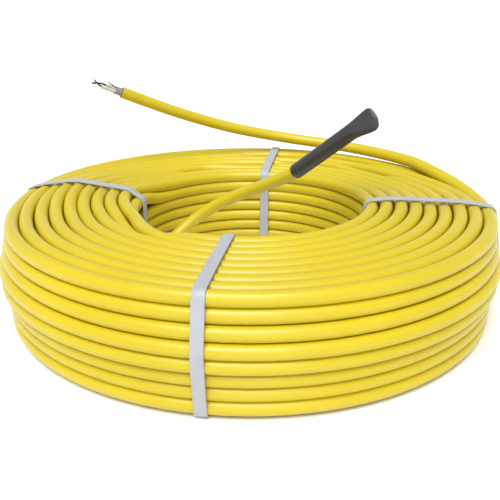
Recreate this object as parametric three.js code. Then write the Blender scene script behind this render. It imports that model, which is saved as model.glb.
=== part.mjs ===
import * as THREE from 'three';

// A strapped coil of heating cable, lying flat. Millimetres, +Z up.
// The origin is on the floor, on the coil's own axis.

// Driving sizes
const cableDiameter = 7.0;
const columns = 9; // turns side by side across the top
const layers = 8; // turns on top of each other
const columnPitch = 7.11;
const layerPitch = 6.31;
const boreRadius = 58.4;
const layerBulge = [0, 0.9, 2.6, 4.5, 4.05, 2.2, 1.55, 1.35]; // how far each layer's outer turn stands out, top first
const coilFacets = 32;
const grooveReach = 0.95; // share of a turn's half pitch that its visible arc covers

const strapCount = 4;
const strapWidth = 5.6;
const strapThickness = 0.8;
const strapAzimuth = THREE.MathUtils.degToRad(-8.6);

const capDiameter = 8.4;
const capPaddleWidth = 11;
const capPaddleThickness = 3.4;
const capLength = 56.5;
const capPaddleTurn = THREE.MathUtils.degToRad(67); // how far the flat tip is turned about the cap's axis
const capFlattenFrom = 14; // where the sleeve starts to flatten, back from its tip
const capFlatFrom = 4.5; // where it is fully flat
const capOverlap = 14; // how far the cap is shrunk down over the cable

const shieldDiameter = 5.0;
const shieldLength = 3.8;
const coreDiameter = 2.3;
const coreLength = 7.2;
const coreSpread = 2.7; // centre to centre of the two cores
const wireDiameter = 1.3;
const wireLength = 6.6;
const drainDiameter = 0.8;
const drainRise = new THREE.Vector3(-4.2, -0.6, 4.2); // which way the drain wire stands off

const clearance = 0.3; // kept between pieces that touch

// Worked out from the driving sizes
const cableRadius = cableDiameter / 2;
const bottomLayerHeight = strapThickness + clearance + cableRadius;
const topLayerHeight = bottomLayerHeight + (layers - 1) * layerPitch;
const innerTurnRadius = boreRadius + cableRadius;
const outerTurnRadius = innerTurnRadius + (columns - 1) * columnPitch;

// Route of the loose lead over the back of the coil, from where it leaves the outer turn.
// Heights are over the top layer's middle.
const leadRoute = [
  [93.8, 73.1, 7.4], [81.7, 86.5, 8.1], [68.1, 97.1, 9.0], [53.8, 104.8, 10.0], [40.7, 108.5, 11.2],
  [27.3, 110.1, 12.9], [13.6, 109.9, 15.2], [0.1, 107.8, 18.0], [-13.1, 104.4, 21.4], [-26.1, 100.0, 25.6],
  [-38.6, 95.0, 30.1], [-50.7, 89.5, 35.0], [-62.3, 83.6, 40.2], [-73.4, 77.6, 45.5], [-77.9, 75.3, 47.6],
];
// Route of the loose end from the bore wall, up across the bore to the cap.
const endRoute = [
  [-50.4, -20.4, -41.2], [-52.9, -10.1, -41.2], [-53.5, 0.5, -39.9], [-52.2, 10.9, -37.5], [-49.0, 20.3, -33.8],
  [-43.5, 28.0, -28.7], [-36.1, 32.6, -22.7], [-27.6, 34.4, -16.5], [-18.5, 33.9, -10.8], [-9.4, 31.6, -5.7],
  [-0.5, 27.9, -1.1], [8.1, 23.3, 3.4], [16.2, 18.1, 8.1], [23.8, 12.7, 13.4], [28.1, 9.1, 17.6], [32.4, 5.5, 21.8],
];

const sheath = new THREE.MeshStandardMaterial({ color: 0xeed72e, roughness: 0.4, metalness: 0 });
const strapPlastic = new THREE.MeshStandardMaterial({ color: 0xcfcfd6, roughness: 0.5, metalness: 0 });
const capPlastic = new THREE.MeshStandardMaterial({ color: 0x2a2a2c, roughness: 0.45, metalness: 0 });
const shieldMetal = new THREE.MeshStandardMaterial({ color: 0x9a958c, roughness: 0.4, metalness: 0.9 });
const corePlastic = new THREE.MeshStandardMaterial({ color: 0xdcdccb, roughness: 0.4, metalness: 0 });
const wireMetal = new THREE.MeshStandardMaterial({ color: 0x4a4440, roughness: 0.45, metalness: 0.8 });

const group = new THREE.Group();

function addPiece(name, geometry, material) {
  const piece = new THREE.Mesh(geometry, material);
  piece.name = name;
  group.add(piece);
  return piece;
}

function layerHeight(layer) {
  return topLayerHeight - layer * layerPitch;
}

// The turns that show, counterclockwise round the cut section, each with the span of normals it shows.
function shownTurns() {
  const columnHalf = Math.asin(Math.min(0.93, grooveReach * columnPitch / cableDiameter));
  const layerHalf = Math.asin(Math.min(0.93, grooveReach * layerPitch / cableDiameter));
  const up = Math.PI / 2;
  const turns = [];
  const add = (radius, height, from, to) => turns.push({ radius, height, from, to });
  const outerRadius = (layer) => outerTurnRadius + layerBulge[layer];

  add(outerRadius(layers - 1), layerHeight(layers - 1), -up - columnHalf, layerHalf);
  for (let layer = layers - 2; layer > 0; layer -= 1) {
    add(outerRadius(layer), layerHeight(layer), -layerHalf, layerHalf);
  }
  add(outerRadius(0), layerHeight(0), -layerHalf, up + columnHalf);
  for (let column = columns - 2; column > 0; column -= 1) {
    add(innerTurnRadius + column * columnPitch, layerHeight(0), up - columnHalf, up + columnHalf);
  }
  add(innerTurnRadius, layerHeight(0), up - columnHalf, 2 * up + layerHalf);
  for (let layer = 1; layer < layers - 1; layer += 1) {
    add(innerTurnRadius, layerHeight(layer), 2 * up - layerHalf, 2 * up + layerHalf);
  }
  add(innerTurnRadius, layerHeight(layers - 1), 2 * up - layerHalf, 3 * up + columnHalf);
  for (let column = 1; column < columns - 1; column += 1) {
    add(innerTurnRadius + column * columnPitch, layerHeight(layers - 1), 3 * up - columnHalf, 3 * up + columnHalf);
  }
  return turns;
}

// The coil is one turned ring, with each turn's rounding on its faces.
// Its flats touch the true circle, so a strap lies on the middle of one.
function coilGeometry() {
  const halfFacet = Math.PI / coilFacets;
  const outward = 1 / Math.cos(halfFacet);
  const arcStep = THREE.MathUtils.degToRad(42);
  const profile = [];
  for (const turn of shownTurns()) {
    const span = turn.to - turn.from;
    const steps = Math.ceil(span / arcStep);
    for (let i = 0; i <= steps; i += 1) {
      const angle = turn.from + span * i / steps;
      const radius = turn.radius + cableRadius * Math.cos(angle);
      profile.push(new THREE.Vector2(radius * outward, turn.height + cableRadius * Math.sin(angle)));
    }
  }
  profile.push(profile[0].clone());
  const ring = new THREE.LatheGeometry(profile, coilFacets, strapAzimuth + Math.PI / 2 - halfFacet);
  return ring.rotateX(Math.PI / 2);
}

// Outer boundary of a set of points, counterclockwise.
function hullOf(points) {
  const sorted = [...points].sort((a, b) => a.x - b.x || a.y - b.y);
  const turnsRight = (a, b, c) => (b.x - a.x) * (c.y - a.y) - (b.y - a.y) * (c.x - a.x) <= 1e-6;
  const chain = (list) => {
    const side = [];
    for (const point of list) {
      while (side.length > 1 && turnsRight(side[side.length - 2], side[side.length - 1], point)) {
        side.pop();
      }
      side.push(point);
    }
    return side.slice(0, -1);
  };
  return [...chain(sorted), ...chain(sorted.reverse())];
}

// A band pulled tight round the coil's section, this far off the turns.
function bandOutline(offset) {
  const points = [];
  const samples = 24;
  for (const turn of shownTurns()) {
    for (let i = 0; i < samples; i += 1) {
      const angle = 2 * Math.PI * i / samples;
      const reach = cableRadius + offset;
      points.push(new THREE.Vector2(turn.radius + reach * Math.cos(angle), turn.height + reach * Math.sin(angle)));
    }
  }
  return hullOf(points);
}

function strapGeometry(azimuth) {
  const band = new THREE.Shape(bandOutline(clearance + strapThickness));
  band.holes.push(new THREE.Path(bandOutline(clearance)));
  const strap = new THREE.ExtrudeGeometry(band, { depth: strapWidth, bevelEnabled: false });
  strap.translate(0, 0, -strapWidth / 2);
  return strap.rotateX(Math.PI / 2).rotateZ(azimuth);
}

function circle(diameter, sides) {
  const corners = [];
  for (let i = 0; i < sides; i += 1) {
    const angle = 2 * Math.PI * (i + 0.5) / sides;
    corners.push(new THREE.Vector2(Math.cos(angle), Math.sin(angle)).multiplyScalar(diameter / 2));
  }
  return new THREE.Shape(corners);
}

function tubeAlong(curve, diameter, sides, steps) {
  return new THREE.ExtrudeGeometry(circle(diameter, sides), { steps, extrudePath: curve });
}

function routeCurve(route) {
  const points = route.map(([x, y, z]) => new THREE.Vector3(x, y, topLayerHeight + z));
  return new THREE.CatmullRomCurve3(points);
}

// A ring of corners across a direction: an ellipse, wide along `side`.
function crossRing(centre, side, rise, width, thickness, corners) {
  const ring = [];
  for (let i = 0; i < corners; i += 1) {
    const angle = 2 * Math.PI * (i + 0.5) / corners;
    const point = centre.clone();
    point.addScaledVector(side, width / 2 * Math.cos(angle));
    point.addScaledVector(rise, thickness / 2 * Math.sin(angle));
    ring.push(point);
  }
  return ring;
}

// One closed skin over a row of rings, with a mouth that goes in as far as the last inner ring.
function skinOver(rings) {
  const corners = rings[0].length;
  const positions = rings.flat().flatMap((point) => point.toArray());
  const faces = [];
  for (let r = 0; r < rings.length - 1; r += 1) {
    for (let i = 0; i < corners; i += 1) {
      const a = r * corners + i;
      const b = r * corners + (i + 1) % corners;
      faces.push(a, b, b + corners, a, b + corners, a + corners);
    }
  }
  const last = (rings.length - 1) * corners;
  for (let i = 1; i < corners - 1; i += 1) {
    faces.push(0, i + 1, i);
    faces.push(last, last + i, last + i + 1);
  }
  const skin = new THREE.BufferGeometry();
  skin.setAttribute('position', new THREE.Float32BufferAttribute(positions, 3));
  skin.setIndex(faces);
  return skin;
}

// The heat-shrunk cap: a sleeve over the cable's end, pressed flat at its tip.
function capGeometry(end) {
  const along = end.direction;
  const side = new THREE.Vector3(0, 0, 1).cross(along).normalize();
  side.applyAxisAngle(along, capPaddleTurn);
  const rise = along.clone().cross(side);
  const corners = 12;
  const boreDiameter = cableDiameter + 2 * clearance;
  const mouth = -capOverlap;
  const ringAt = (distance, width, thickness) => {
    const centre = end.point.clone().addScaledVector(along, distance);
    return crossRing(centre, side, rise, width, thickness, corners);
  };
  const tip = capLength - capOverlap;
  const halfway = tip - (capFlattenFrom + capFlatFrom) / 2;
  return skinOver([
    ringAt(clearance, boreDiameter, boreDiameter),
    ringAt(mouth, boreDiameter, boreDiameter),
    ringAt(mouth, capDiameter - 0.2, capDiameter - 0.2),
    ringAt(mouth + 0.5, capDiameter, capDiameter),
    ringAt(tip - capFlattenFrom, capDiameter, capDiameter),
    ringAt(halfway, (capDiameter + capPaddleWidth) / 2, (capDiameter + capPaddleThickness) / 2),
    ringAt(tip - capFlatFrom, capPaddleWidth, capPaddleThickness),
    ringAt(tip - 1.5, capPaddleWidth - 1.2, capPaddleThickness - 0.4),
    ringAt(tip, capPaddleWidth - 4.5, capPaddleThickness - 1.4),
  ]);
}

function endOf(curve) {
  return { point: curve.getPointAt(1), direction: curve.getTangentAt(1) };
}

addPiece('cable_coil', coilGeometry(), sheath);

for (let i = 0; i < strapCount; i += 1) {
  const azimuth = strapAzimuth + 2 * Math.PI * i / strapCount;
  addPiece(`strap_${i + 1}`, strapGeometry(azimuth), strapPlastic);
}

const leadCurve = routeCurve(leadRoute);
const endCurve = routeCurve(endRoute);
const cableSides = 10;
addPiece('lead_tail', tubeAlong(leadCurve, cableDiameter, cableSides, 22), sheath);
addPiece('end_tail', tubeAlong(endCurve, cableDiameter, cableSides, 20), sheath);
addPiece('end_cap', capGeometry(endOf(endCurve)), capPlastic);

// The stripped end: the shield's stub, two insulated cores, their bare strands and a drain wire.
const lead = endOf(leadCurve);
const across = new THREE.Vector3(0, 0, 1).cross(lead.direction).normalize();

function straightPiece(from, direction, length, diameter, sides) {
  const path = new THREE.LineCurve3(from, from.clone().addScaledVector(direction, length));
  return tubeAlong(path, diameter, sides, 1);
}

const shieldStart = lead.point.clone().addScaledVector(lead.direction, clearance);
addPiece('shield', straightPiece(shieldStart, lead.direction, shieldLength, shieldDiameter, 10), shieldMetal);

const coreStart = shieldStart.clone().addScaledVector(lead.direction, shieldLength + clearance);
for (const [index, share] of [-0.5, 0.5].entries()) {
  const start = coreStart.clone().addScaledVector(across, share * coreSpread);
  addPiece(`core_${index + 1}`, straightPiece(start, lead.direction, coreLength, coreDiameter, 8), corePlastic);
  const wireStart = start.clone().addScaledVector(lead.direction, coreLength + clearance);
  addPiece(`core_wire_${index + 1}`, straightPiece(wireStart, lead.direction, wireLength, wireDiameter, 8), wireMetal);
}

const rise = lead.direction.clone().cross(across);
const drainStart = coreStart.clone().addScaledVector(rise, shieldDiameter / 2 - drainDiameter / 2);
const drainDirection = drainRise.clone().normalize();
addPiece('drain_wire', straightPiece(drainStart, drainDirection, drainRise.length(), drainDiameter, 8), wireMetal);

export default group;
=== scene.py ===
import math
import random

import bmesh
import bpy
from mathutils import Matrix, Vector


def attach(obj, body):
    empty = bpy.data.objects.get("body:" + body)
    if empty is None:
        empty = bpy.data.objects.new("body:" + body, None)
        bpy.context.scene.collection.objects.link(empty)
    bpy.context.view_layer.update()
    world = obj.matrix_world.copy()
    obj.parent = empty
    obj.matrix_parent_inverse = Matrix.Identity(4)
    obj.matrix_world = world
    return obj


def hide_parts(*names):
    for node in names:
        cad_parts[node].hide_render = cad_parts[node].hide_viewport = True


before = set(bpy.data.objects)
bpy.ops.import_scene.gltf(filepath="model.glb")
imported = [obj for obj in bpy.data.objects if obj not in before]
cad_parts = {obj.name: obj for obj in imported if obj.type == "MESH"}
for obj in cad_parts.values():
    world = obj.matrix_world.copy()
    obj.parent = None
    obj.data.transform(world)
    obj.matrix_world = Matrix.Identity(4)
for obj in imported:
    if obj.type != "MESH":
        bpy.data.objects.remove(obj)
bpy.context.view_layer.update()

# Driving sizes of the coil, in metres
CABLE = 0.007
COLUMNS = 9
LAYERS = 8
COLUMN_PITCH = 0.00711
LAYER_PITCH = 0.00631
BORE = 0.0584
BULGE = [0.0, 0.0009, 0.0026, 0.0045, 0.00405, 0.0022, 0.00155, 0.00135]
CLEARANCE = 0.0003

STRAP_WIDTH = 0.0052
STRAP_THICKNESS = 0.0008
STRAP_COUNT = 4
STRAP_AZIMUTH = -8.6
# How much a strap stands off the turns in the middle of the coil's top.
STRAP_ARCH = 0.0004
STRAP_EDGE = 0.00022
STRAP_STEP = 0.002
STRAP_GIRTH = 0.24

RADIUS = CABLE / 2
BOTTOM_HEIGHT = STRAP_THICKNESS + CLEARANCE + RADIUS
TOP_HEIGHT = BOTTOM_HEIGHT + (LAYERS - 1) * LAYER_PITCH
INNER_TURN = BORE + RADIUS
OUTER_TURN = INNER_TURN + (COLUMNS - 1) * COLUMN_PITCH

# Where the cable climbs a layer in each column, in degrees round the coil: at the top, at the bottom.
CLIMB_TOP = [231, 213, 120, 85, 70, 35, 85, 50, 20]
CLIMB_BOTTOM = [212, 170, 135, 85, 50, 75, 40, 62, 20]
# Where it moves out to the next column.
SHIFT = [222, 152, 102, 67, 52, 57, 67, 44]
# Half the angle that a climb or a shift takes, in degrees: in most columns, at the top of the first two
# columns and in the last column.
SHIFT_HALF_WIDTH = 10
FIRST_CROSSING_HALF_WIDTH = 20
OUTER_CLIMB_HALF_WIDTH = 18
SEGMENTS_A_TURN = 96
# The wound turns are drawn thinner by this share, which comes in over some points at either end.
WOUND_PRESS = 0.06
PRESS_FADE = 24
# Each turn wanders in and out by this much.
SWAY = 0.00016
# The loose ends' lines have points this far apart, and take over from the coil's this many points in.
ROUTE_STEP = 0.003
JOINED_OVER = 4

# The top layer leans a little at the back: its outer turn up, its inner turn down. The next layer
# follows it by a share.
LEAN = 0.0011
LEAN_MIDDLE = 112
LEAN_HALF_WIDTH = 62
LEAN_BELOW = 0.5

# Beside the left and the right strap the top layer's turns stand up and out: the azimuth, half the span,
# how far up each column goes and how far out. The next layer follows by a share.
HUMP_BELOW = 0.4
HUMPS = [
    (170, 36, [0.0020, 0.0023, 0.0026, 0.0038, 0.0045, 0.0040, 0.0024, 0.0018, 0.0],
     [0.0052, 0.0048, 0.0042, 0.0037, 0.0031, 0.0024, 0.0017, 0.0009, 0.0002]),
    (-8, 34, [0.0007, 0.0016, 0.0018, 0.0016, 0.0008, 0.0007, 0.0016, 0.0011, 0.0002],
     [0.0010, 0.0012, 0.0013, 0.0014, 0.0014, 0.0013, 0.0013, 0.0013, 0.0011]),
]
# At the left strap the turn under the innermost one comes up beside it.
RISER_UP = 0.0041
RISER_IN = 0.0008
RISER_RISES = (144, 168)
RISER_SINKS = (182, 202)

# The loose lead lifts off the outer turn between these azimuths, up to this height.
LIFT_FROM = -6
LIFT_TO = 44
LIFT_HEIGHT = 0.0078
LEAD_LEAVES = 33

# Route of the loose lead, with heights over the top layer's middle.
LEAD_ROUTE = [
    (0.0938, 0.0731, 0.0074), (0.0817, 0.0865, 0.0081), (0.0681, 0.0971, 0.0090),
    (0.0538, 0.1048, 0.0100), (0.0407, 0.1085, 0.0112), (0.0273, 0.1101, 0.0129),
    (0.0136, 0.1099, 0.0152), (0.0001, 0.1078, 0.0180), (-0.0131, 0.1044, 0.0214),
    (-0.0261, 0.1000, 0.0256), (-0.0386, 0.0950, 0.0301), (-0.0507, 0.0895, 0.0350),
    (-0.0623, 0.0836, 0.0402), (-0.0734, 0.0776, 0.0455), (-0.0779, 0.0753, 0.0476),
]
# Route of the loose end, from the bore's wall up to the cap.
END_ROUTE = [
    (-0.0504, -0.0204, -0.0412), (-0.0529, -0.0101, -0.0412), (-0.0535, 0.0005, -0.0399),
    (-0.0522, 0.0109, -0.0375), (-0.0490, 0.0203, -0.0338), (-0.0435, 0.0280, -0.0287),
    (-0.0361, 0.0326, -0.0227), (-0.0276, 0.0344, -0.0165), (-0.0185, 0.0339, -0.0108),
    (-0.0094, 0.0316, -0.0057), (-0.0005, 0.0279, -0.0011), (0.0081, 0.0233, 0.0034),
    (0.0162, 0.0181, 0.0081), (0.0238, 0.0127, 0.0134), (0.0281, 0.0091, 0.0176), (0.0324, 0.0055, 0.0218),
]
# The loose end's line gives way to the wound turns between these azimuths.
MERGE_FROM = 222
MERGE_TO = 250

# The heat-shrunk cap. Its far end is pressed flat: the distances are from its tip, and the flat stands
# off the cable's line by the lean.
CAP_DIAMETER = 0.0082
CAP_BORE = 0.0070
CAP_LENGTH = 0.0582
CAP_OVERLAP = 0.0133
CAP_FLAT_WIDTH = 0.0118
CAP_FLAT_THICKNESS = 0.0032
CAP_FLAT_TURN = 84
CAP_FLATTEN_FROM = 0.0175
CAP_FLAT_FROM = 0.0025
CAP_LEAN = -0.0007
CAP_TIP_ROUND = 0.0042
CAP_MOUTH_DEPTH = 0.0030
CAP_STEPS = 44

# The stripped end, measured from the sheath's cut end
SHEATH_WALL = 0.00055
SHEATH_RECESS = 0.0010
SHIELD_DIAMETER = 0.0048
SHIELD_LENGTH = 0.0047
CORE_DIAMETER = 0.0022
CORE_APART = 0.00085
CORE_ENDS = [0.0103, 0.0130]
STRAND_DIAMETER = 0.00036
STRANDS = 7
DRAIN_DIAMETER = 0.00062

# The camera, from the photograph: focal length in widths of the picture, how far in front of the coil's
# axis and over the top layer's middle it is, and how many degrees it looks down.
FOCAL = 647.1 / 500
CAMERA_BACK = 0.3266
CAMERA_UP = 0.0970
CAMERA_DOWN = 20.69

# The studio: two wide lights, an even sky, and a floor that sweeps up far behind the coil
KEY_AZIMUTH = -14
KEY_ELEVATION = 60
KEY_POWER = 3.1
KEY_SPREAD = 40
FILL_AZIMUTH = 5
FILL_ELEVATION = 22
FILL_POWER = 0.35
FILL_SPREAD = 14
SKY_POWER = 0.50
FLOOR_REACH = 6
SWEEP_FROM = 3.5
SWEEP_STEEPNESS = 0.2

random.seed(7)


def smooth(share):
    share = min(1.0, max(0.0, share))
    return share * share * (3 - 2 * share)


def mix(a, b, share):
    return a + (b - a) * share


def on_circle(radius, degrees, height):
    angle = math.radians(degrees)
    return Vector((radius * math.cos(angle), radius * math.sin(angle), height))


def make_camera():
    data = bpy.data.cameras.new("camera")
    data.sensor_width = 36
    data.lens = FOCAL * data.sensor_width
    data.clip_start = 0.01
    camera = bpy.data.objects.new("camera", data)
    camera.location = (0, -CAMERA_BACK, TOP_HEIGHT + CAMERA_UP)
    camera.rotation_euler = (math.radians(90 - CAMERA_DOWN), 0, 0)
    bpy.context.scene.collection.objects.link(camera)
    bpy.context.scene.camera = camera


# The cable's course
def turn_places():
    """Each turn's column and layer, in the order that it is wound: up the first column, down the next."""
    places = []
    for column in range(COLUMNS):
        layers = list(range(LAYERS))
        if column % 2 == 0:
            layers.reverse()
        places += [(column, layer) for layer in layers]
    return places


def place_size(place):
    """A turn's radius and height."""
    column, layer = place
    out = column / (COLUMNS - 1)
    radius = INNER_TURN + column * COLUMN_PITCH + BULGE[layer] * out * out
    return radius, TOP_HEIGHT - layer * LAYER_PITCH


def round_to(azimuth, middle):
    """How far an azimuth is from a middle one, the short way round."""
    return (azimuth - middle + 180) % 360 - 180


def size_at(place, azimuth):
    """A turn's radius and height at one place round the coil."""
    column, layer = place
    radius, height = place_size(place)
    if layer < 2:
        outward = 2 * column / (COLUMNS - 1) - 1
        away = abs(round_to(azimuth, LEAN_MIDDLE))
        share = smooth(1.5 - away / LEAN_HALF_WIDTH)
        height += LEAN * outward * share * (1 - LEAN_BELOW * layer)
    for middle, half, up, out in HUMPS:
        share = smooth(1 - abs(round_to(azimuth, middle)) / half)
        if layer == 0:
            height += up[column] * share
            radius += out[column] * share
        elif layer == 1 and column > 0:
            height += HUMP_BELOW * up[column] * share
            radius += HUMP_BELOW * out[column] * share
    if place == (0, 1):
        share = smooth((azimuth % 360 - RISER_RISES[0]) / (RISER_RISES[1] - RISER_RISES[0]))
        share *= smooth((RISER_SINKS[1] - azimuth % 360) / (RISER_SINKS[1] - RISER_SINKS[0]))
        height += RISER_UP * share
        radius -= RISER_IN * share
    return radius, height


def turn_changes(places):
    """Where each turn gives way to the next: the angle gone round so far, and half the change's width."""
    changes = []
    angle = None
    for here, following in zip(places, places[1:]):
        if here[0] == following[0]:
            deep = (max(here[1], following[1]) - 1) / (LAYERS - 2)
            azimuth = mix(CLIMB_TOP[here[0]], CLIMB_BOTTOM[here[0]], deep)
        else:
            azimuth = SHIFT[here[0]]
        outer = following[0] == COLUMNS - 1 and here[0] == following[0]
        half = OUTER_CLIMB_HALF_WIDTH if outer else SHIFT_HALF_WIDTH
        if here in ((0, 1), (0, 0), (1, 0)):
            half = FIRST_CROSSING_HALF_WIDTH
        if angle is None:
            angle = azimuth + 360
        else:
            angle += 360 + (azimuth - angle + 180) % 360 - 180
        changes.append((angle, half))
    return changes


def coil_course():
    """Points of all the turns, from where the loose end comes in to where the lead leaves."""
    places = turn_places()
    changes = turn_changes(places)
    sway = [random.uniform(0, math.tau) for _ in places]
    start = math.degrees(math.atan2(END_ROUTE[0][1], END_ROUTE[0][0])) + 360
    start_radius = math.hypot(END_ROUTE[0][0], END_ROUTE[0][1])
    start_height = TOP_HEIGHT + END_ROUTE[0][2]
    last = changes[-1][0]
    leave = last + 360 - last % 360 + LEAD_LEAVES
    lift_start = leave - LEAD_LEAVES + LIFT_FROM

    def turn_point(turn, angle):
        radius, height = size_at(places[turn], angle)
        return radius + math.sin(math.radians(2 * angle) + sway[turn]) * SWAY, height

    points = []
    angle = start
    turn = 0
    while angle <= leave:
        while turn < len(changes) and angle > changes[turn][0] + changes[turn][1]:
            turn += 1
        radius, height = turn_point(turn, angle)
        if turn < len(changes):
            middle, half = changes[turn]
            share = smooth((angle - middle + half) / (2 * half))
            next_radius, next_height = turn_point(turn + 1, angle)
            radius = mix(radius, next_radius, share)
            height = mix(height, next_height, share)
        if angle < MERGE_TO:
            radius = mix(start_radius, radius, smooth((angle - MERGE_FROM) / (MERGE_TO - MERGE_FROM)))
            height = mix(start_height, height, smooth((angle - start) / (MERGE_TO - start)))
        height += LIFT_HEIGHT * smooth((angle - lift_start) / (LIFT_TO - LIFT_FROM))
        points.append(on_circle(radius, angle, height))
        angle += 360 / SEGMENTS_A_TURN
    return points


def through(points, spacing):
    """A smooth line through the points, about this far from point to point."""
    padded = [2 * points[0] - points[1], *points, 2 * points[-1] - points[-2]]
    line = []
    for a, b, c, d in zip(padded, padded[1:], padded[2:], padded[3:]):
        count = max(2, round((c - b).length / spacing))
        for i in range(count):
            t = i / count
            line.append(0.5 * (2 * b + (c - a) * t + (2 * a - 5 * b + 4 * c - d) * t * t
                               + (3 * b - a - 3 * c + d) * t * t * t))
    line.append(padded[-2].copy())
    return line


def route_points(route):
    return [Vector((x, y, TOP_HEIGHT + z)) for x, y, z in route]


def cable_course():
    """The whole cable's centreline, from inside the cap to the sheath's cut end, and how full it is
    at each point."""
    coil = coil_course()
    end_route = route_points(END_ROUTE)[::-1] + [coil[JOINED_OVER], coil[2 * JOINED_OVER]]
    end_line = through(end_route, ROUTE_STEP)
    lead = route_points(LEAD_ROUTE)
    lead[-1] -= (lead[-1] - lead[-2]).normalized() * SHEATH_RECESS
    lead_line = through([coil[-1 - JOINED_OVER], coil[-1]] + lead, ROUTE_STEP)
    points = end_line[:-1] + coil[2 * JOINED_OVER:-1 - JOINED_OVER] + lead_line
    wound_from = len(end_line)
    wound_to = len(points) - len(lead_line)
    swell = []
    for i in range(len(points)):
        pressed = smooth((i - wound_from) / PRESS_FADE) * smooth((wound_to - i) / PRESS_FADE)
        swell.append(1 - WOUND_PRESS * pressed)
    return points, swell


def line_length(points):
    return sum((b - a).length for a, b in zip(points, points[1:]))


# Materials
class Wire:
    """A value on its way through a material. Sums on it add the nodes they need."""

    def __init__(self, sheet, socket):
        self.sheet = sheet
        self.socket = socket

    def maths(self, operation, first, second=0.0):
        return self.sheet.node("ShaderNodeMath", {"operation": operation}, {0: first, 1: second})

    def __add__(self, other):
        return self.maths("ADD", self, other)

    def __radd__(self, other):
        return self.maths("ADD", other, self)

    def __rmul__(self, other):
        return self.maths("MULTIPLY", other, self)


class Sheet:
    """One material and its nodes."""

    def __init__(self, name):
        self.material = bpy.data.materials.new(name)
        self.material.use_nodes = True
        self.tree = self.material.node_tree
        self.tree.nodes.clear()

    def node(self, kind, settings=None, inputs=None, output=0):
        node = self.tree.nodes.new(kind)
        for name, value in (settings or {}).items():
            if name == "stops":
                self.set_stops(node.color_ramp, value)
            else:
                setattr(node, name, value)
        for name, value in (inputs or {}).items():
            if isinstance(value, Wire):
                self.tree.links.new(value.socket, node.inputs[name])
            else:
                node.inputs[name].default_value = value
        if len(node.outputs) == 0:
            return None
        return Wire(self, node.outputs[output])

    def set_stops(self, ramp, stops):
        while len(ramp.elements) < len(stops):
            ramp.elements.new(0.5)
        for element, (position, tone) in zip(ramp.elements, stops):
            element.position = position
            element.color = tone

    def place(self):
        return self.node("ShaderNodeTexCoord", output="Object")

    def band_place(self):
        return self.node("ShaderNodeTexCoord", output="UV")

    def stretched(self, place, scale):
        return self.node("ShaderNodeMapping", {}, {"Vector": place, "Scale": scale})

    def noise(self, place, scale, detail=2.0, roughness=0.5):
        return self.node("ShaderNodeTexNoise", {},
                         {"Vector": place, "Scale": scale, "Detail": detail, "Roughness": roughness}, "Fac")

    def ramp(self, factor, stops):
        return self.node("ShaderNodeValToRGB", {"stops": stops}, {"Fac": factor}, "Color")

    def blend(self, factor, first, second):
        return self.node("ShaderNodeMix", {"data_type": "RGBA"}, {0: factor, 6: first, 7: second}, 2)

    def bump(self, height, distance, strength=1.0):
        return self.node("ShaderNodeBump", {},
                         {"Height": height, "Distance": distance, "Strength": strength}, "Normal")

    def finish(self, inputs):
        surface = self.node("ShaderNodeBsdfPrincipled", {}, inputs)
        self.node("ShaderNodeOutputMaterial", {}, {"Surface": surface})
        return self.material


def colour(red, green, blue):
    return (red, green, blue, 1.0)


def sheath_finish():
    sheet = Sheet("yellow sheath")
    place = sheet.place()
    broad = sheet.noise(place, 18.0)
    fine = sheet.noise(place, 900.0, 3.0)
    tone = sheet.ramp(broad, [(0.3, colour(0.57, 0.45, 0.008)), (0.7, colour(0.62, 0.49, 0.010))])
    rough = 0.30 + 0.10 * sheet.noise(place, 120.0) + 0.05 * fine
    return sheet.finish({
        "Base Color": tone, "Roughness": rough, "Coat Weight": 0.12, "Coat Roughness": 0.3,
        "Subsurface Weight": 0.04, "Subsurface Radius": (0.002, 0.0015, 0.0005),
        "Normal": sheet.bump(fine, 0.00003, 0.5),
    })


def strap_finish():
    sheet = Sheet("pale strap")
    band = sheet.band_place()
    grain = sheet.noise(sheet.stretched(band, (1.0, 14.0, 1.0)), 220.0, 4.0)
    patch = sheet.noise(sheet.stretched(band, (1.0, 2.0, 1.0)), 90.0, 2.0)
    tone = sheet.blend(patch, colour(0.385, 0.400, 0.425), colour(0.435, 0.450, 0.475))
    return sheet.finish({
        "Base Color": tone, "Roughness": 0.36 + 0.18 * grain, "Subsurface Weight": 0.05,
        "Subsurface Radius": (0.001, 0.001, 0.001), "Normal": sheet.bump(grain, 0.00005, 0.7),
    })


def cap_finish():
    sheet = Sheet("black sleeve")
    place = sheet.place()
    fine = sheet.noise(place, 700.0, 4.0, 0.6)
    broad = sheet.noise(place, 60.0)
    tone = sheet.blend(broad, colour(0.034, 0.033, 0.036), colour(0.052, 0.050, 0.054))
    return sheet.finish({
        "Base Color": tone, "Roughness": 0.30 + 0.12 * fine, "Normal": sheet.bump(fine, 0.00008, 0.7),
    })


def plain_finish(name, tone, roughness, metallic=0.0, grain=400.0, depth=0.00003):
    sheet = Sheet(name)
    fine = sheet.noise(sheet.place(), grain, 3.0)
    darker = tuple(0.7 * part for part in tone[:3]) + (1.0,)
    return sheet.finish({
        "Base Color": sheet.blend(fine, darker, tone), "Roughness": roughness + 0.1 * fine,
        "Metallic": metallic, "Normal": sheet.bump(fine, depth, 0.6),
    })


def floor_finish():
    return Sheet("pale floor").finish({"Base Color": colour(0.96, 0.96, 0.96), "Roughness": 0.9})


# Ways of making a piece
def add_object(name, data, material, slot, *nodes):
    piece = bpy.data.objects.new(name, data)
    bpy.context.scene.collection.objects.link(piece)
    data.materials.append(material)
    if slot:
        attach(piece, "root")
    if nodes:
        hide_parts(*nodes)
    return piece


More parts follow.
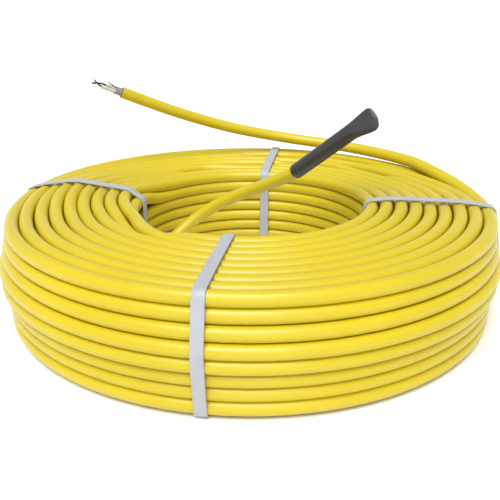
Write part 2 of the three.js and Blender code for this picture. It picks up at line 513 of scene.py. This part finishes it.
def add_mesh(name, shape, material, slot, *nodes, sharp=40):
    """A piece from its shape. Edges sharper than this many degrees stay crisp."""
    bmesh.ops.recalc_face_normals(shape, faces=shape.faces)
    for face in shape.faces:
        face.smooth = True
    for edge in shape.edges:
        edge.smooth = edge.is_boundary or edge.calc_face_angle(0.0) < math.radians(sharp)
    mesh = bpy.data.meshes.new(name)
    shape.to_mesh(mesh)
    shape.free()
    return add_object(name, mesh, material, slot, *nodes)


def add_cord(name, points, swell, diameter, material, resolution):
    """A round cord on one open line, with how full it is at each point."""
    data = bpy.data.curves.new(name, "CURVE")
    data.dimensions = "3D"
    data.bevel_depth = diameter / 2
    data.bevel_resolution = resolution
    data.use_fill_caps = True
    spline = data.splines.new("POLY")
    spline.points.add(len(points) - 1)
    for control, point, share in zip(spline.points, points, swell):
        control.co = (*point, 1.0)
        control.radius = share
    spline.use_smooth = True
    return add_object(name, data, material, "sheath", "cable_coil", "lead_tail", "end_tail")


def frame_at(direction, up=Vector((0, 0, 1))):
    """The turn that takes a piece made along Z to this direction."""
    along = direction.normalized()
    side = up.cross(along).normalized()
    return Matrix((side, along.cross(side), along)).transposed().to_4x4()


def ring_at(centre, turn, width, thickness):
    """What places a circle of radius 1 as one ring of a skin."""
    return Matrix.Translation(centre) @ turn @ Matrix.Diagonal((width / 2, thickness / 2, 1, 1))


def grow_skin(shape, rings, sides, close_first, close_last):
    """A skin that grows from ring to ring. Gives back the rings' corners."""
    corners = bmesh.ops.create_circle(shape, cap_ends=False, segments=sides, radius=1)["verts"]
    bmesh.ops.transform(shape, matrix=rings[0], verts=corners)
    edges = list({edge for corner in corners for edge in corner.link_edges})
    if close_first:
        bmesh.ops.edgeloop_fill(shape, edges=edges)
    all_corners = [corners]
    for before, after in zip(rings, rings[1:]):
        grown = bmesh.ops.extrude_edge_only(shape, edges=edges)["geom"]
        corners = [item for item in grown if isinstance(item, bmesh.types.BMVert)]
        edges = [item for item in grown
                 if isinstance(item, bmesh.types.BMEdge) and all(end in corners for end in item.verts)]
        bmesh.ops.transform(shape, matrix=after @ before.inverted(), verts=corners)
        all_corners.append(corners)
    if close_last:
        bmesh.ops.edgeloop_fill(shape, edges=edges)
    return all_corners


def grow_wire(shape, points, diameters, sides):
    """A closed round wire through the points."""
    rings = []
    for i, point in enumerate(points):
        before = points[max(0, i - 1)]
        after = points[min(len(points) - 1, i + 1)]
        rings.append(ring_at(point, frame_at(after - before), diameters[i], diameters[i]))
    grow_skin(shape, rings, sides, True, True)


def hull_of(points):
    """The outer boundary of points in a plane, counterclockwise."""
    def chain(ordered):
        side = []
        for p in ordered:
            while len(side) > 1:
                a, b = side[-2], side[-1]
                if (b[0] - a[0]) * (p[1] - a[1]) - (b[1] - a[1]) * (p[0] - a[0]) > 1e-10:
                    break
                side.pop()
            side.append(p)
        return side[:-1]
    ordered = sorted(points)
    return chain(ordered) + chain(ordered[::-1])


# The straps
def band_line(offset, azimuth):
    """The closed line that a band takes round the coil's section at one azimuth, this far off the turns."""
    samples = 72
    reach = RADIUS + offset
    corners = []
    for place in turn_places():
        radius, height = size_at(place, azimuth)
        for i in range(samples):
            angle = math.tau * i / samples
            corners.append((radius + reach * math.cos(angle), height + reach * math.sin(angle)))
    hull = hull_of(corners)
    line = []
    for a, b in zip(hull, hull[1:] + hull[:1]):
        count = math.ceil(math.dist(a, b) / STRAP_STEP)
        for i in range(count):
            radius = mix(a[0], b[0], i / count)
            height = mix(a[1], b[1], i / count)
            share = (radius - INNER_TURN) / (OUTER_TURN - INNER_TURN)
            if height > TOP_HEIGHT and 0 < share < 1:
                height += STRAP_ARCH * math.sin(math.pi * share) ** 0.7
            line.append((radius, height))
    return line


def make_strap(name, azimuth, node):
    """One band round the coil's section, unwrapped along its length."""
    shape = bmesh.new()
    line = band_line(CLEARANCE + STRAP_THICKNESS / 2, azimuth)
    corners = [shape.verts.new((radius, -STRAP_WIDTH / 2, height)) for radius, height in line]
    edges = [shape.edges.new(pair) for pair in zip(corners, corners[1:] + corners[:1])]
    grown = bmesh.ops.extrude_edge_only(shape, edges=edges)["geom"]
    moved = [item for item in grown if isinstance(item, bmesh.types.BMVert)]
    bmesh.ops.translate(shape, verts=moved, vec=(0, STRAP_WIDTH, 0))
    bmesh.ops.recalc_face_normals(shape, faces=shape.faces)
    bmesh.ops.solidify(shape, geom=list(shape.faces), thickness=STRAP_THICKNESS)
    thick = [edge for edge in shape.edges if edge.calc_face_angle(0.0) > math.radians(60)]
    bmesh.ops.bevel(shape, geom=thick, offset=STRAP_EDGE, offset_type="OFFSET", segments=2, profile=0.5,
                    affect="EDGES", material=-1)
    middle = Vector(((INNER_TURN + OUTER_TURN) / 2, 0, (TOP_HEIGHT + BOTTOM_HEIGHT) / 2))
    unwrap = shape.loops.layers.uv.new("band")
    for face in shape.faces:
        centre = face.calc_center_median() - middle
        base = math.atan2(centre.z, centre.x)
        for loop in face.loops:
            spoke = loop.vert.co - middle
            gone = (math.atan2(spoke.z, spoke.x) - base + math.pi) % math.tau - math.pi
            loop[unwrap].uv = ((base + gone) / math.tau * STRAP_GIRTH, spoke.y)
    spin = Matrix.Rotation(math.radians(azimuth), 3, "Z")
    bmesh.ops.rotate(shape, verts=shape.verts, cent=(0, 0, 0), matrix=spin)
    return add_mesh(name, shape, STRAP, "strap", node)


# The heat-shrunk cap
def make_cap(course):
    """A sleeve with an open mouth over the cable's end, pressed flat and rounded at its tip."""
    along = (course[0] - course[3]).normalized()
    mouth = course[0] - along * CAP_OVERLAP
    turn = frame_at(along) @ Matrix.Rotation(math.radians(CAP_FLAT_TURN), 4, "Z")
    side = turn.col[0].to_3d()
    mouth_places = [(CAP_MOUTH_DEPTH, CAP_BORE), (0.0002, CAP_BORE + 0.0001), (0.0, CAP_BORE + 0.0004),
                    (0.0, CAP_DIAMETER - 0.0004), (0.0002, CAP_DIAMETER - 0.0001)]
    places = [(gone, diameter, diameter, 0) for gone, diameter in mouth_places]
    for i in range(1, CAP_STEPS + 1):
        gone = mix(0.0006, CAP_LENGTH, i / CAP_STEPS)
        left = CAP_LENGTH - gone
        flat = smooth((CAP_FLATTEN_FROM - left) / (CAP_FLATTEN_FROM - CAP_FLAT_FROM))
        width = mix(CAP_DIAMETER, CAP_FLAT_WIDTH, flat)
        thickness = mix(CAP_DIAMETER, CAP_FLAT_THICKNESS, flat)
        if left < CAP_TIP_ROUND:
            lost = CAP_TIP_ROUND - math.sqrt(CAP_TIP_ROUND ** 2 - (CAP_TIP_ROUND - left) ** 2)
            width -= 2 * lost
            thickness -= lost * CAP_FLAT_THICKNESS / CAP_TIP_ROUND
        places.append((gone, width, thickness, flat * CAP_LEAN))
    rings = [ring_at(mouth + along * gone + side * lean, turn, width, thickness)
             for gone, width, thickness, lean in places]
    shape = bmesh.new()
    grow_skin(shape, rings, 40, True, True)
    return add_mesh("cap", shape, CAP, "cap", "end_cap", sharp=50)


# The stripped end
def make_stripped_end(course):
    """What shows past the sheath's cut end: the shield's stub, two cores with their strands, the drain."""
    along = (course[-1] - course[-2]).normalized()
    turn = frame_at(along)
    across = turn.col[0].to_3d()
    rise = turn.col[1].to_3d()
    cut = course[-1] + along * SHEATH_RECESS

    def at(gone, side, up):
        return cut + along * gone + across * side + rise * up

    def rings_of(sizes):
        return [ring_at(at(gone, 0, 0), turn, diameter, diameter) for gone, diameter in sizes]

    shape = bmesh.new()
    hole = CABLE - 2 * SHEATH_WALL
    grow_skin(shape, rings_of([
        (-SHEATH_RECESS - 0.0002, CABLE - 0.0006), (-SHEATH_RECESS - 0.0001, CABLE), (-0.00015, CABLE),
        (0.0, CABLE - 0.0003), (0.0, hole + 0.0003), (-0.0001, hole), (-SHEATH_RECESS + 0.00005, hole),
    ]), 32, True, False)
    pieces = [add_mesh("sheath_end", shape, SHEATH, "sheath")]

    # A dark plug just inside the sheath's cut end: painted shade, a dark piece standing where the cut end's
    # hollow is only in shadow.
    shape = bmesh.new()
    grow_skin(shape, rings_of([(-SHEATH_RECESS + 0.0001, hole - 0.0002),
                               (-SHEATH_RECESS + 0.0002, hole - 0.0003)]), 32, True, True)
    pieces.append(add_mesh("shade_plug", shape, SHADE_PLUG, "wire"))

    shape = bmesh.new()
    wall = 0.0003
    corners = grow_skin(shape, rings_of([
        (-SHEATH_RECESS + 0.00015, SHIELD_DIAMETER), (0.0008, SHIELD_DIAMETER * 1.02),
        (0.0022, SHIELD_DIAMETER * 0.98), (SHIELD_LENGTH * 0.8, SHIELD_DIAMETER),
        (SHIELD_LENGTH, SHIELD_DIAMETER * 1.01), (SHIELD_LENGTH, SHIELD_DIAMETER - 2 * wall),
        (SHIELD_LENGTH - 0.0014, SHIELD_DIAMETER - 2.2 * wall),
    ]), 40, True, True)
    for outer, inner in zip(corners[4], corners[5]):
        ragged = along * random.uniform(-0.0005, 0.0004) + rise * random.uniform(-0.00008, 0.00008)
        outer.co += ragged
        inner.co += ragged
    pieces.append(add_mesh("shield_braid", shape, SHIELD, "shield", "shield"))

    ways = [(CORE_APART, -CORE_APART), (-CORE_APART, CORE_APART)]
    for index, (up, side) in enumerate(ways):
        end = CORE_ENDS[index]
        shape = bmesh.new()
        spine = [at(0.0028, side * 0.8, up * 0.8), at(0.006, side, up), at(end, side * 0.95, up * 0.95)]
        line = through(spine, 0.0008)
        grow_wire(shape, line, [CORE_DIAMETER] * len(line), 20)
        pieces.append(add_mesh(f"milky_core_{index + 1}", shape, CORE, "core", f"core_{index + 1}"))

    tips = [
        [(0.0098, -0.0008, 0.0008), (0.0130, -0.0004, 0.0009), (0.0158, -0.0004, 0.0002),
         (0.0180, -0.0003, -0.0007), (0.0187, -0.0004, -0.0003)],
        [(0.0126, 0.0008, -0.0008), (0.0145, 0.0006, -0.0004), (0.0160, 0.0005, 0.0002),
         (0.0172, 0.0004, 0.0008), (0.0184, 0.0002, 0.0015)],
    ]
    for index, way in enumerate(tips):
        spine = through([at(*place) for place in way], 0.0004)
        shape = bmesh.new()
        for strand in range(STRANDS):
            spread = 0.0 if strand == 0 else 0.00036
            stop = len(spine) - random.randint(0, 3)
            first = math.tau * strand / (STRANDS - 1)
            line = []
            for i, point in enumerate(spine[:stop]):
                angle = first + 0.34 * i
                splay = 1 + 0.5 * smooth((i / len(spine) - 0.7) / 0.3) * random.uniform(0.6, 1.4)
                offset = (across * math.cos(angle) + rise * math.sin(angle)) * spread * splay
                line.append(point + offset)
            grow_wire(shape, line, [STRAND_DIAMETER] * len(line), 8)
        node = f"core_wire_{index + 1}"
        pieces.append(add_mesh(f"strands_{index + 1}", shape, STRAND, "wire", node))

    shape = bmesh.new()
    line = through([at(0.0024, -0.0004, 0.0017), at(0.0042, -0.0003, 0.0016), at(0.0054, -0.0002, 0.0018),
                    at(0.0072, -0.0001, 0.0024), at(0.0096, 0.0, 0.0031)], 0.0005)
    grow_wire(shape, line, [DRAIN_DIAMETER] * len(line), 12)
    knot = [at(0.0041 + 0.00012 * i / 3, -0.0003, 0.0015)
            + (across * math.cos(0.7 * i) + rise * math.sin(0.7 * i)) * 0.00042 for i in range(22)]
    grow_wire(shape, knot, [0.0004] * len(knot), 8)
    pieces.append(add_mesh("drain", shape, DRAIN, "wire", "drain_wire"))
    return pieces


# The studio
def make_stage():
    """A pale floor that sweeps up far behind the coil."""
    shape = bmesh.new()
    corners = bmesh.ops.create_grid(shape, x_segments=1, y_segments=48, size=FLOOR_REACH)["verts"]
    for corner in corners:
        corner.co.z = SWEEP_STEEPNESS * max(0.0, corner.co.y - SWEEP_FROM) ** 2
    add_mesh("floor", shape, floor_finish(), None)


def add_sun(name, azimuth, elevation, power, spread):
    """A wide soft light from one side: azimuth 0 is the front, and more is further to the right."""
    data = bpy.data.lights.new(name, "SUN")
    data.energy = power
    data.angle = math.radians(spread)
    light = bpy.data.objects.new(name, data)
    light.location = (0, 0, 1)
    light.rotation_euler = (math.radians(90 - elevation), 0, math.radians(azimuth))
    bpy.context.scene.collection.objects.link(light)


make_camera()
SHEATH = sheath_finish()
STRAP = strap_finish()
CAP = cap_finish()
# The plug's dark yellow-brown is painted shade for the hollow inside the sheath's cut end.
SHADE_PLUG = plain_finish("dark shade plug", colour(0.12, 0.09, 0.02), 0.7)
SHIELD = plain_finish("grey shield", colour(0.42, 0.41, 0.42), 0.42, 0.55, 1500.0, 0.00012)
CORE = plain_finish("milky core", colour(0.62, 0.64, 0.56), 0.35, 0.0, 300.0, 0.00002)
STRAND = plain_finish("dark strand", colour(0.045, 0.035, 0.035), 0.4, 0.4, 900.0)
DRAIN = plain_finish("black drain wire", colour(0.012, 0.013, 0.012), 0.45)

course, swell = cable_course()
cable = add_cord("cable", course, swell, CABLE, SHEATH, 4)
for index in range(STRAP_COUNT):
    make_strap(f"band_{index + 1}", STRAP_AZIMUTH + 360 * index / STRAP_COUNT, f"strap_{index + 1}")
cap = make_cap(course)
stripped = make_stripped_end(course)

make_stage()
add_sun("key", KEY_AZIMUTH, KEY_ELEVATION, KEY_POWER, KEY_SPREAD)
add_sun("fill", FILL_AZIMUTH, FILL_ELEVATION, FILL_POWER, FILL_SPREAD)
world = bpy.data.worlds.new("studio")
world.use_nodes = True
world.node_tree.nodes["Background"].inputs["Color"].default_value = colour(1.0, 1.0, 1.0)
world.node_tree.nodes["Background"].inputs["Strength"].default_value = SKY_POWER
bpy.context.scene.world = world
bpy.context.scene.view_settings.view_transform = "Standard"

line_length(course)
